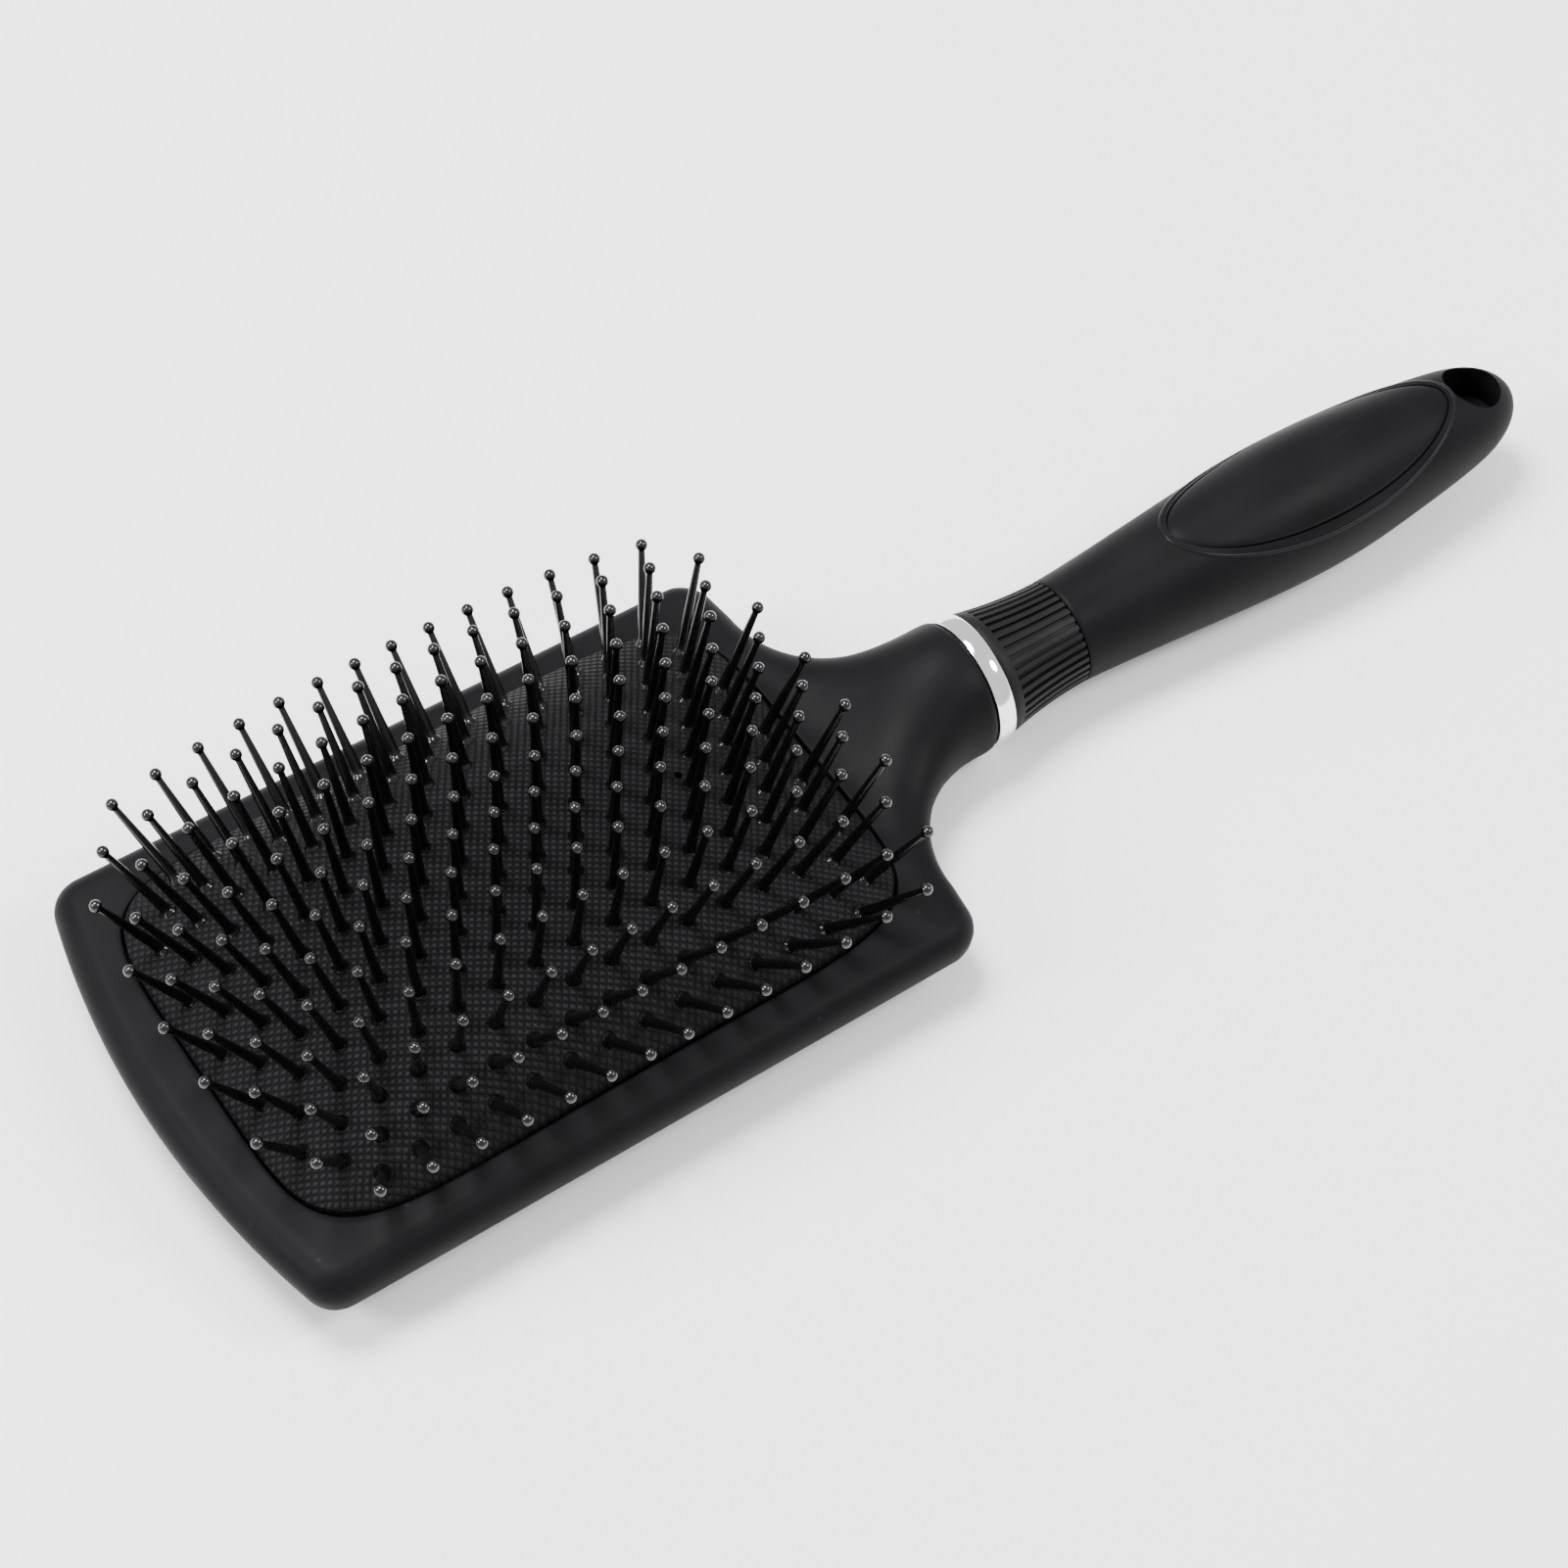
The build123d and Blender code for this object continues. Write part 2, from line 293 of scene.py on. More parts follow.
def dust_group():
    """Tiny pale specks scattered thinly, as a mask."""
    group, entry, leave = new_group(
        "Dust Specks", [("Density", 0.1), ("Spacing Scale", 900.0)], [("Mask", 'NodeSocketFloat')])
    place = group.nodes.new('ShaderNodeTexCoord').outputs["Object"]
    cells = group.nodes.new('ShaderNodeTexVoronoi')
    group.links.new(place, cells.inputs["Vector"])
    group.links.new(entry.outputs["Spacing Scale"], cells.inputs["Scale"])
    near = math_node(group, 'LESS_THAN', cells.outputs["Distance"], 0.16)
    pick = group.nodes.new('ShaderNodeSeparateColor')
    group.links.new(cells.outputs["Color"], pick.inputs[0])
    chosen = math_node(group, 'LESS_THAN', pick.outputs[0], entry.outputs["Density"])
    group.links.new(math_node(group, 'MULTIPLY', near, chosen), leave.inputs["Mask"])
    return group


def coating_group():
    """Soft-touch coating: broad mottling and fine grain."""
    group, entry, leave = new_group(
        "Soft Coating", [("Grain Scale", 4200.0), ("Mottle Scale", 60.0)],
        [("Grain", 'NodeSocketFloat'), ("Mottle", 'NodeSocketFloat')])
    place = group.nodes.new('ShaderNodeTexCoord').outputs["Object"]
    group.links.new(noise_node(group, place, entry.outputs["Grain Scale"], 2.0), leave.inputs["Grain"])
    group.links.new(noise_node(group, place, entry.outputs["Mottle Scale"], 4.0), leave.inputs["Mottle"])
    return group


def edge_group():
    """Mask of the sharper convex edges, from how sharply the surface turns, used to paint highlight onto them."""
    group, entry, leave = new_group("Painted Edge Highlight", [("Start", 0.52), ("End", 0.62)],
                                    [("Mask", 'NodeSocketFloat')])
    point = group.nodes.new('ShaderNodeNewGeometry').outputs["Pointiness"]
    spread = group.nodes.new('ShaderNodeMapRange')
    group.links.new(point, spread.inputs["Value"])
    group.links.new(entry.outputs["Start"], spread.inputs["From Min"])
    group.links.new(entry.outputs["End"], spread.inputs["From Max"])
    group.links.new(spread.outputs["Result"], leave.inputs["Mask"])
    return group


def weave_group():
    """Canvas texture moulded into the rubber: rows of small raised squares, set askew. Its Shade output is painted
    light: the raised squares are paler than the hollows between them.
    """
    group, entry, leave = new_group(
        "Canvas Texture", [("Rows Per Metre", 900.0), ("Turn", -0.574)],
        [("Height", 'NodeSocketFloat'), ("Shade", 'NodeSocketFloat')])
    place = group.nodes.new('ShaderNodeTexCoord').outputs["Object"]
    turn = group.nodes.new('ShaderNodeVectorRotate')
    turn.rotation_type = 'Z_AXIS'
    group.links.new(place, turn.inputs["Vector"])
    group.links.new(entry.outputs["Turn"], turn.inputs["Angle"])
    split = group.nodes.new('ShaderNodeSeparateXYZ')
    group.links.new(turn.outputs[0], split.inputs[0])
    rate = math_node(group, 'MULTIPLY', entry.outputs["Rows Per Metre"], math.pi)
    warp = math_node(group, 'ABSOLUTE', math_node(
        group, 'SINE', math_node(group, 'MULTIPLY', split.outputs["X"], rate)))
    weft = math_node(group, 'ABSOLUTE', math_node(
        group, 'SINE', math_node(group, 'MULTIPLY', split.outputs["Y"], rate)))
    height = math_node(group, 'POWER', math_node(group, 'MULTIPLY', warp, weft), 0.7)
    group.links.new(height, leave.inputs["Height"])
    # painted highlight and shade: paler on the raised squares, darker in the hollows, broken up by noise
    spots = noise_node(group, place, 260.0, 3.0)
    group.links.new(math_node(group, 'MULTIPLY', height, spots), leave.inputs["Shade"])
    return group


def shared_group(name, builder):
    """Builds a group once and reuses it."""
    return bpy.data.node_groups.get(name) or builder()


def place_group(tree, group, **values):
    """Puts a group in a material with its own values."""
    node = tree.nodes.new('ShaderNodeGroup')
    node.node_tree = group
    for label, value in values.items():
        node.inputs[label.replace("_", " ")].default_value = value
    return node


def mix_colour(tree, factor, dark, light):
    """Colour between two fixed colours by a mask."""
    node = tree.nodes.new('ShaderNodeMix')
    node.data_type = 'RGBA'
    node.inputs[6].default_value = (*dark, 1)
    node.inputs[7].default_value = (*light, 1)
    tree.links.new(factor, node.inputs[0])
    return node.outputs[2]


def map_range(tree, value, low, high, start=0.0, end=1.0):
    """A value moved from start..end to low..high."""
    node = tree.nodes.new('ShaderNodeMapRange')
    tree.links.new(value, node.inputs["Value"])
    node.inputs["From Min"].default_value = start
    node.inputs["From Max"].default_value = end
    node.inputs["To Min"].default_value = low
    node.inputs["To Max"].default_value = high
    return node.outputs["Result"]


def bump(tree, height, strength, distance, shader):
    """Surface relief from a height."""
    node = tree.nodes.new('ShaderNodeBump')
    node.inputs["Strength"].default_value = strength
    node.inputs["Distance"].default_value = distance
    tree.links.new(height, node.inputs["Height"])
    tree.links.new(node.outputs["Normal"], shader.inputs["Normal"])


def new_material(name):
    """An empty material with its Principled shader."""
    material = bpy.data.materials.new(name)
    material.use_nodes = True
    tree = material.node_tree
    return material, tree, tree.nodes["Principled BSDF"]


def lighter(colour, times):
    """A paler version of a colour."""
    return tuple(min(channel * times, 1.0) for channel in colour)


# ======================================================================
# Finishes
# ======================================================================
def soft_touch_finish(name, colour, rough_low=0.46, rough_high=0.58):
    """Soft-touch coated plastic with grain, mottling, painted highlight on its sharper edges, and dust."""
    material, tree, shader = new_material(name)
    coat = place_group(tree, shared_group("Soft Coating", coating_group), Grain_Scale=4200.0, Mottle_Scale=70.0)
    dust = place_group(tree, shared_group("Dust Specks", dust_group), Density=0.035, Spacing_Scale=420.0)
    edge = place_group(tree, shared_group("Painted Edge Highlight", edge_group), Start=0.53, End=0.66)
    # painted highlight: sharper edges are mixed towards a paler colour; mottling and dust specks are added on top
    painted_light_and_tone = math_node(tree, 'MULTIPLY', edge.outputs["Mask"], 0.35)
    painted_light_and_tone = math_node(tree, 'ADD', painted_light_and_tone, map_range(tree, coat.outputs["Mottle"], 0.0, 0.35, 0.3, 0.7))
    painted_light_and_tone = math_node(tree, 'ADD', painted_light_and_tone, math_node(tree, 'MULTIPLY', dust.outputs["Mask"], 0.9), clamp=True)
    tree.links.new(mix_colour(tree, painted_light_and_tone, colour, lighter(colour, 2.4)), shader.inputs["Base Color"])
    rough = map_range(tree, coat.outputs["Mottle"], rough_low, rough_high, 0.3, 0.7)
    tree.links.new(rough, shader.inputs["Roughness"])
    shader.inputs["Specular IOR Level"].default_value = 0.055
    bump(tree, coat.outputs["Grain"], 0.12, 0.00005, shader)
    return material


def pin_finish(colour):
    """Smooth nylon with mottled roughness and a few pale dust specks."""
    material, tree, shader = new_material("pin_nylon")
    coat = place_group(tree, shared_group("Soft Coating", coating_group), Grain_Scale=2600.0, Mottle_Scale=240.0)
    dust = place_group(tree, shared_group("Dust Specks", dust_group), Density=0.05, Spacing_Scale=700.0)
    tree.links.new(mix_colour(tree, dust.outputs["Mask"], colour, lighter(colour, 6.0)),
                   shader.inputs["Base Color"])
    rough = map_range(tree, coat.outputs["Mottle"], 0.12, 0.22, 0.3, 0.7)
    tree.links.new(rough, shader.inputs["Roughness"])
    shader.inputs["Specular IOR Level"].default_value = 0.5
    return material


def cushion_finish(colour):
    """Matt rubber with a woven texture moulded into its surface, its raised squares painted paler as painted
    highlight, and dust specks.
    """
    material, tree, shader = new_material("cushion_rubber")
    weave = place_group(tree, shared_group("Canvas Texture", weave_group), Rows_Per_Metre=980.0, Turn=0.574)
    dust = place_group(tree, shared_group("Dust Specks", dust_group), Density=0.06, Spacing_Scale=620.0)
    # painted highlight: raised squares of the weave mixed towards a paler colour; dust specks added on top
    painted_light_and_tone = math_node(tree, 'MULTIPLY', weave.outputs["Shade"], 1.5)
    painted_light_and_tone = math_node(tree, 'ADD', painted_light_and_tone, math_node(tree, 'MULTIPLY', dust.outputs["Mask"], 0.6), clamp=True)
    tree.links.new(mix_colour(tree, painted_light_and_tone, colour, lighter(colour, 4.5)), shader.inputs["Base Color"])
    rough = map_range(tree, weave.outputs["Height"], 0.75, 0.5)
    tree.links.new(rough, shader.inputs["Roughness"])
    shader.inputs["Specular IOR Level"].default_value = 0.10
    bump(tree, weave.outputs["Height"], 0.8, 0.0003, shader)
    return material


def grip_finish(colour):
    """Dull rubber of the grooved collar, with painted highlight on the sharp edges of its ribs."""
    material, tree, shader = new_material("collar_rubber")
    coat = place_group(tree, shared_group("Soft Coating", coating_group), Grain_Scale=3200.0, Mottle_Scale=150.0)
    edge = place_group(tree, shared_group("Painted Edge Highlight", edge_group), Start=0.51, End=0.60)
    # painted highlight: the ribs' sharp edges are mixed towards a paler colour, plus mottling
    painted_light_and_tone = math_node(tree, 'MULTIPLY', edge.outputs["Mask"], 0.6)
    painted_light_and_tone = math_node(tree, 'ADD', painted_light_and_tone, map_range(tree, coat.outputs["Mottle"], 0.0, 0.3, 0.3, 0.7), clamp=True)
    tree.links.new(mix_colour(tree, painted_light_and_tone, colour, lighter(colour, 2.4)), shader.inputs["Base Color"])
    rough = map_range(tree, coat.outputs["Mottle"], 0.5, 0.66, 0.3, 0.7)
    tree.links.new(rough, shader.inputs["Roughness"])
    shader.inputs["Specular IOR Level"].default_value = 0.14
    bump(tree, coat.outputs["Grain"], 0.2, 0.00006, shader)
    return material


def chrome_finish(colour):
    """Bright plating with faint handling haze."""
    material, tree, shader = new_material("ring_chrome")
    coat = place_group(tree, shared_group("Soft Coating", coating_group), Grain_Scale=1500.0, Mottle_Scale=220.0)
    tree.links.new(mix_colour(tree, coat.outputs["Mottle"], lighter(colour, 0.96), lighter(colour, 1.04)),
                   shader.inputs["Base Color"])
    rough = map_range(tree, coat.outputs["Mottle"], 0.05, 0.14, 0.3, 0.7)
    tree.links.new(rough, shader.inputs["Roughness"])
    shader.inputs["Metallic"].default_value = 1.0
    return material


# ======================================================================
# Head
# ======================================================================
def arc_points(centre, radius, start, end, count):
    """Points on an arc, angles in degrees, without the last one."""
    steps = (math.radians(start + (end - start) * i / count) for i in range(count))
    return [Vector((centre[0] + radius * math.cos(a), centre[1] + radius * math.sin(a))) for a in steps]


def line_points(start, end, count):
    """Points on a straight run, without the last one."""
    return [Vector(start).lerp(Vector(end), i / count) for i in range(count)]


def rounded_corner(before, corner, after, radius, count):
    """Tangent arc that rounds a corner between two straight runs, both ends included."""
    b, c, a = Vector(before), Vector(corner), Vector(after)
    u, v = (b - c).normalized(), (a - c).normalized()
    half = u.angle(v) / 2
    reach = radius / math.tan(half)
    centre = c + (u + v).normalized() * (radius / math.sin(half))
    p, q = c + u * reach, c + v * reach
    sweep = (p - centre).angle_signed(q - centre)
    return [centre + Matrix.Rotation(-sweep * i / count, 2) @ (p - centre) for i in range(count + 1)]


def far_end_x(y):
    """Gently bowed far end of the head."""
    bow = HEAD_END_X - FAR_CORNER_X
    return -HEAD_END_X + bow * (y / HEAD_HALF_WIDTH) ** 2


def half_outline():
    """Outline of the +Y half of the head from the neck's end round to the far end."""
    shoulder_y = NECK_HALF_WIDTH + SHOULDER_RADIUS
    start = (SHOULDER_CENTRE_X - SHOULDER_RADIUS, shoulder_y)
    near = (CORNER_X, NEAR_HALF_WIDTH)
    far = (-FAR_CORNER_X, HEAD_HALF_WIDTH)
    points = line_points((NECK_END, NECK_HALF_WIDTH), (SHOULDER_CENTRE_X, NECK_HALF_WIDTH), 6)
    points += arc_points((SHOULDER_CENTRE_X, shoulder_y), SHOULDER_RADIUS, 270, 180, 40)
    near_arc = rounded_corner(start, near, far, CORNER_ROUND, 14)
    points += line_points(start, near_arc[0], 5)
    points += near_arc[:-1]
    inner_y = HEAD_HALF_WIDTH * 0.85
    far_arc = rounded_corner(near, far, (far_end_x(inner_y), inner_y), CORNER_ROUND, 14)
    points += line_points(near_arc[-1], far_arc[0], 52)
    points += far_arc[:-1]
    last = far_arc[-1]
    for i in range(25):
        y = last.y * (1 - i / 24)
        x = far_end_x(y) + (last.x - far_end_x(last.y)) * (y / last.y) ** 4
        points.append(Vector((x, y)))
    return points


def opening_point(angle):
    """Point of the cushion opening's edge in a direction from its centre; the long sides draw in."""
    power = 5.8
    c, s = math.cos(angle), math.sin(angle)
    length = 51.3 * MM
    share = 0.0
    for _ in range(6):
        width = (34.2 - 0.9 * share - 1.0 * (1 - share * share)) * MM
        reach = ((abs(c) / length) ** power + (abs(s) / width) ** power) ** (-1 / power)
        share = reach * c / length
    return Vector((reach * c, reach * s))


def rib_partner(point, index, shoulder):
    """Where the rib from an outline point ends: the centre line in the neck, else the opening."""
    first, last = shoulder
    if index <= first:
        return Vector((point.x, 0)), False
    edge = opening_point(0).x
    if index < last:
        t = (index - first) / (last - first)
        if t < 0.5:
            return Vector((SHOULDER_CENTRE_X + (edge - SHOULDER_CENTRE_X) * t * 2, 0)), False
        top = math.atan2(NECK_HALF_WIDTH + SHOULDER_RADIUS, SHOULDER_CENTRE_X - SHOULDER_RADIUS)
        return opening_point(top * (t - 0.5) * 2), True
    return opening_point(math.atan2(point.y, point.x)), True


def distance_to_outline(point, outline):
    """Shortest distance from a point to the outline's segments."""
    best = 1.0
    for a, b in zip(outline, outline[1:]):
        run = b - a
        t = min(max((point - a).dot(run) / run.length_squared, 0.0), 1.0)
        best = min(best, (point - a - run * t).length)
    return best


def rounded_drop(depth, reach, height):
    """How far a rounded edge has fallen at this distance in from the outline."""
    if depth >= reach:
        return 0.0
    return height * (1 - math.sqrt(max(1 - (1 - depth / reach) ** 2, 0.0)))


def neck_depth(x):
    """How deep inside the outline the neck's centre line lies at x."""
    run = max(SHOULDER_CENTRE_X - x, 0.0)
    return math.hypot(run, NECK_HALF_WIDTH + SHOULDER_RADIUS) - SHOULDER_RADIUS


def edge_reach(x, plate_reach):
    """Width of the edge rounding: the plate's own, growing to the whole half width of the neck."""
    grown = smooth_step(x, 50 * MM, 67 * MM)
    return plate_reach + grown * (min(neck_depth(x), 16 * MM) - plate_reach)


def head_heights(x, depth, sizes):
    """Top and back heights of head or neck, at x from the cushion's centre."""
    neck = smooth_step(x, 52 * MM, 75.5 * MM)
    top = sizes.head_thickness + neck * (DATUM_Z + NECK_HALF_WIDTH - sizes.head_thickness)
    low = neck * 0.05 * MM
    top_fall = sizes.rim_round + neck * (NECK_HALF_WIDTH - sizes.rim_round)
    low_fall = sizes.back_fall + neck * (NECK_HALF_WIDTH - sizes.back_fall)
    return (top - rounded_drop(depth, edge_reach(x, sizes.rim_round), top_fall),
            low + rounded_drop(depth, edge_reach(x, sizes.back_reach), low_fall))


def layer_depths(reach, full, back):
    """Distances in from the outline where a rib has its points."""
    curve = [reach * (1 - math.cos(math.pi / 2 * i / 9)) for i in range(10)]
    curve = [d for d in curve if d < full * 0.9]
    missing = 10 - len(curve)
    start = curve[-1]
    count = 6 + missing
    rest = [start + (full - start) * (i / count) for i in range(1, count + 1)]
    return curve + rest


def head_piece(sizes, material):
    """Head moulding: rim, back, smooth shoulders and the neck, as one closed skin."""
    outline = half_outline()
    mirrored = [Vector((p.x, -p.y)) for p in reversed(outline)]
    shoulder = (6, 46)
    verts, faces = [], []
    columns = len(outline)
    top_rows, low_rows, wall = [], [], []
    for index, point in enumerate(outline):
        partner, on_edge = rib_partner(point, index, shoulder)
        reach_full = (partner - point).length
        for rows, is_top in ((top_rows, True), (low_rows, False)):
            reach = edge_reach(point.x, sizes.rim_round if is_top else sizes.back_reach)
            row = []
            for d in layer_depths(min(reach, reach_full), reach_full, not is_top):
                spot = point.lerp(partner, d / reach_full)
                depth = distance_to_outline(spot, outline)
                heights = head_heights(spot.x, depth, sizes)
                row.append(Vector((spot.x, spot.y, heights[0] if is_top else heights[1])))
            rows.append(row)
        wall.append(on_edge)
    half = []
    depth_count = len(top_rows[0])
    for rows in (top_rows, low_rows):
        start = len(half)
        for row in rows:
            half.extend(row)
        faces += grid_faces(columns, depth_count, False, start)
    low_start = columns * depth_count
    for i in range(columns - 1):
        a, b = i * depth_count, (i + 1) * depth_count
        faces.append((a, b, low_start + b, low_start + a))
    end_loop = list(range(depth_count)) + [low_start + k for k in reversed(range(depth_count))]
    faces.append(tuple(end_loop))
    lip_start = len(half)
    lip_columns = [i for i in range(columns) if wall[i]]
    lip_drops = ((0.0, 0.0), (0.12, 0.05), (0.3, 0.3), (0.34, 0.8), (0.34, 4.5))
    for i in lip_columns:
        rim = top_rows[i][-1]
        outward = Vector((top_rows[i][-1] - top_rows[i][-2]))
        outward.z = 0
        outward.normalize()
        for inward, drop in lip_drops:
            half.append(rim + outward * inward * MM - Vector((0, 0, drop * MM)))
    faces += grid_faces(len(lip_columns), len(lip_drops), False, lip_start)
    low_edge = [low_start + i * depth_count + depth_count - 1 for i in lip_columns]
    faces.append(tuple(low_edge))
    floor_edge = [lip_start + i * len(lip_drops) + len(lip_drops) - 1 for i in range(len(lip_columns))]
    faces.append(tuple(floor_edge))
    verts = [round_neck_end(v) for v in half]
    offset = len(verts)
    verts += [Vector((v.x, -v.y, v.z)) for v in verts]
    faces += [tuple(offset + k for k in reversed(face)) for face in list(faces)]
    verts = [Vector((v.x + CUSHION_X, v.y, v.z)) for v in verts]
    piece = make_piece("head_moulding", verts, faces, material, "brush_body",
                       ["paddle_head", "cushion_frame"])
    crease_angle(piece, 50)
    return piece


def round_neck_end(v):
    """Draws the neck's last millimetre in towards its axis."""
    start = NECK_END - 1.3 * MM
    if v.x <= start:
        return v
    t = min((v.x - start) / (NECK_END - start), 1.0)
    scale = 1 - 0.055 * (1 - math.sqrt(max(1 - t * t, 0.0)))
    return Vector((v.x, v.y * scale, DATUM_Z + (v.z - DATUM_Z) * scale))


# ======================================================================
# Cushion and pins
# ======================================================================
def dome_z(x, y, dome):
    """Height of the rubber above the rim, from the cushion's centre."""
    along = 1 - min(abs(x) / (CUSHION_HALF_LENGTH + 0.35 * MM), 1) ** 2.5
    across = 1 - min(abs(y) / (CUSHION_HALF_WIDTH + 0.35 * MM), 1) ** 3.8
    return 14.0 * MM + dome * along * across


def cushion_piece(sizes, material):
    """Domed rubber cushion, drawn in at its edge, with the vent hole."""
    sides, rings = 240, 64
    edge = [opening_point(math.tau * j / sides) for j in range(sides)]
    verts = []
    for k in range(rings):
        share = (k + 0.5) / rings
        for p in edge:
            inset = 0.30 * MM / p.length
            x, y = p.x * share * (1 - inset), p.y * share * (1 - inset)
            gap = (1 - share) * p.length
            pull = 0.9 * MM * max(1 - gap / (1.6 * MM), 0.0) ** 2
            verts.append(Vector((x + CUSHION_X, y, dome_z(x, y, sizes.dome_height) - pull)))
    faces = grid_faces(rings, sides, True)
    faces.append(tuple(reversed(range(sides))))
    under = len(verts)
    for k in range(rings):
        top = verts[k * sides:(k + 1) * sides]
        verts += [v - Vector((0, 0, 1.5 * MM)) for v in top]
    faces += [tuple(reversed(f)) for f in grid_faces(rings, sides, True, under)]
    faces.append(tuple(range(under, under + sides)))
    top_edge, low_edge = (rings - 1) * sides, under + (rings - 1) * sides
    for j in range(sides):
        k = (j + 1) % sides
        faces.append((top_edge + j, top_edge + k, low_edge + k, low_edge + j))
    piece = make_piece("rubber_cushion", verts, faces, material, "cushion", ["cushion_pad"])
    hole, lids = turned_mesh([(-4 * MM, 0.6 * MM), (6 * MM, 0.6 * MM)], 24)
    x, y = 29.5 * MM, 2.4 * MM
    place = Matrix.Translation((CUSHION_X + x, y, dome_z(x, y, sizes.dome_height)))
    turn = Matrix.Rotation(-math.pi / 2, 4, 'Y')
    apply_boolean(piece, loose_object("vent_cutter", [place @ turn @ v for v in hole], lids))
    crease_angle(piece, 45)
    return piece


def pin_profile(sizes):
    """(height, radius) pairs up one pin from under the rubber to the ball's top."""
    length, ball = sizes.pin_length, sizes.ball_radius
    root, tip = 0.82 * MM, 0.50 * MM
    points = [(-1.2 * MM, 1.5 * MM), (0.0, 1.25 * MM), (0.25 * MM, 1.0 * MM), (0.7 * MM, 0.85 * MM)]
    for i in range(8):
        share = i / 7
        points.append((1.5 * MM + share * (length - ball - 1.5 * MM), root + (tip - root) * share))
    start = math.asin(min(tip / ball, 1.0))
    for i in range(10):
        a = start + (math.pi - start) * i / 9
        points.append((length - ball * math.cos(a), max(ball * math.sin(a), 0.02 * MM)))
    return points


def row_places(number):
    """(x, y) of each pin in a row; every other row is set half a pitch over."""
    step = number - 6
    shrink = 1 - 0.0015 * step * step
    y = 5.1 * step * shrink
    shift = 6.42 / 4 if step % 2 else -6.42 / 4
    for i in range(15):
        x = -0.6 + shrink * (shift + 6.42 * (i - 7))
        if (abs(x) / 51.6) ** 5.5 + (abs(y) / 34.6) ** 5.5 < 0.80:
            yield x * MM, y * MM


def pin_matrix(x, y, dome):
    """Place and lean of one pin."""
    lean_x = 0.58 * math.copysign((abs(x) / (47 * MM)) ** 2.2, x)
    lean_y = math.copysign((abs(y) / (29 * MM)) ** 2.6, y) * (1 - 0.6 * (abs(x) / (52.2 * MM)) ** 2.5)
    up = Vector((lean_x, lean_y, 1)).normalized()
    turn = Vector((0, 0, 1)).rotation_difference(up).to_matrix().to_4x4()
    return Matrix.Translation((CUSHION_X + x, y, dome_z(x, y, dome))) @ turn


def pin_row(number, sizes, material):
    """One row of ball-tipped pins."""
    profile = pin_profile(sizes)
    sides = 16
    verts, faces = [], []
    for x, y in row_places(number):
        place = pin_matrix(x, y, sizes.dome_height)
        start = len(verts)
        for height, radius in profile:
            for j in range(sides):
                a = math.tau * j / sides
                verts.append(place @ Vector((radius * math.cos(a), radius * math.sin(a), height)))
        faces += grid_faces(len(profile), sides, True, start)
        faces.append(tuple(reversed(range(start, start + sides))))
        last = start + (len(profile) - 1) * sides
        faces.append(tuple(range(last, last + sides)))
    name = f"pin_row_{number + 1:02d}"
    return make_piece(name, verts, faces, material, "cushion", [ROWS[number]])


# ======================================================================
# Ring, collar and handle
# ======================================================================
def ring_piece(material):
    """Plated ring with a barrelled band and turned-in edges."""
    start, width, outer, bore = 0.02 * MM, 3.06 * MM, 10.78 * MM, 6.3 * MM
    profile = [(start, bore), (start, outer - 0.6 * MM)]
    for i in range(25):
        t = i / 24
        swell = math.sin(math.pi * t) ** 0.45 if 0 < t < 1 else 0.0
        profile.append((start + width * t, outer - 0.38 * MM + 0.38 * MM * swell))
    profile += [(start + width, outer - 0.6 * MM), (start + width, bore), (start, bore)]
    verts, faces = turned_mesh(profile, 160)
    place = handle_matrix()
    piece = make_piece("plated_ring", [place @ v for v in verts], faces, material, "brush_body",
                       ["chrome_ring"])
    crease_angle(piece, 40)
    return piece


def collar_radius(share):
    """Waisted outside of the collar, from the ring (0) to the handle (1)."""
    return (8.45 + 1.8 * (1 - share) ** 1.9) * MM


def collar_piece(sizes, material):
    """Rubber collar: a plain lip at the ring, then ribs with square grooves between them."""
    start, length, lip = 3.12 * MM, 14.9 * MM, 2.0 * MM
    ribs = sizes.collar_ribs
    pattern = ((0.0, 0), (0.25, 0), (0.44, 0), (0.50, 0), (0.54, 1), (0.75, 1), (0.96, 1))
    stations = [(0.0, 0.5, 0), (0.02, 0.2, 0), (0.06, 0.0, 0), (0.10, 0.0, 0), (lip / length, 0.0, 0),
                (lip / length + 0.012, 0.0, 1)]
    stations += [(0.17 + 0.83 * i / 14, 0.0, 1) for i in range(15)]
    verts = []
    for share, inset, cut in stations:
        for k in range(ribs):
            for place, low in pattern:
                a = math.tau * (k + place) / ribs
                radius = collar_radius(share) - inset * MM - low * cut * sizes.groove_depth
                verts.append(Vector((start + length * share, radius * math.sin(a), radius * math.cos(a))))
    columns = ribs * len(pattern)
    faces = grid_faces(len(stations), columns, True)
    faces.append(tuple(reversed(range(columns))))
    last = (len(stations) - 1) * columns
    faces.append(tuple(range(last, last + columns)))
    place = handle_matrix()
    piece = make_piece("ribbed_collar", [place @ v for v in verts], faces, material, "brush_body",
                       ["grooved_collar"])
    crease_angle(piece, 35)
    return piece


HANDLE_KNOTS = ((18.2, 8.45), (26.8, 8.93), (36.8, 9.73), (46.8, 10.55), (56.8, 11.2), (64.3, 11.38),
                (71.8, 11.13), (81.8, 10.12), (91.8, 8.81))
NOSE_SLOPE = 0.16
HANDLE_TIP = 106.2


def knot_slope(index):
    """Slope of the handle's side at a knot."""
    if index == 0:
        return 0.03
    if index == len(HANDLE_KNOTS) - 1:
        return -NOSE_SLOPE
    (x0, r0), (x1, r1) = HANDLE_KNOTS[index - 1], HANDLE_KNOTS[index + 1]
    return (r1 - r0) / (x1 - x0)


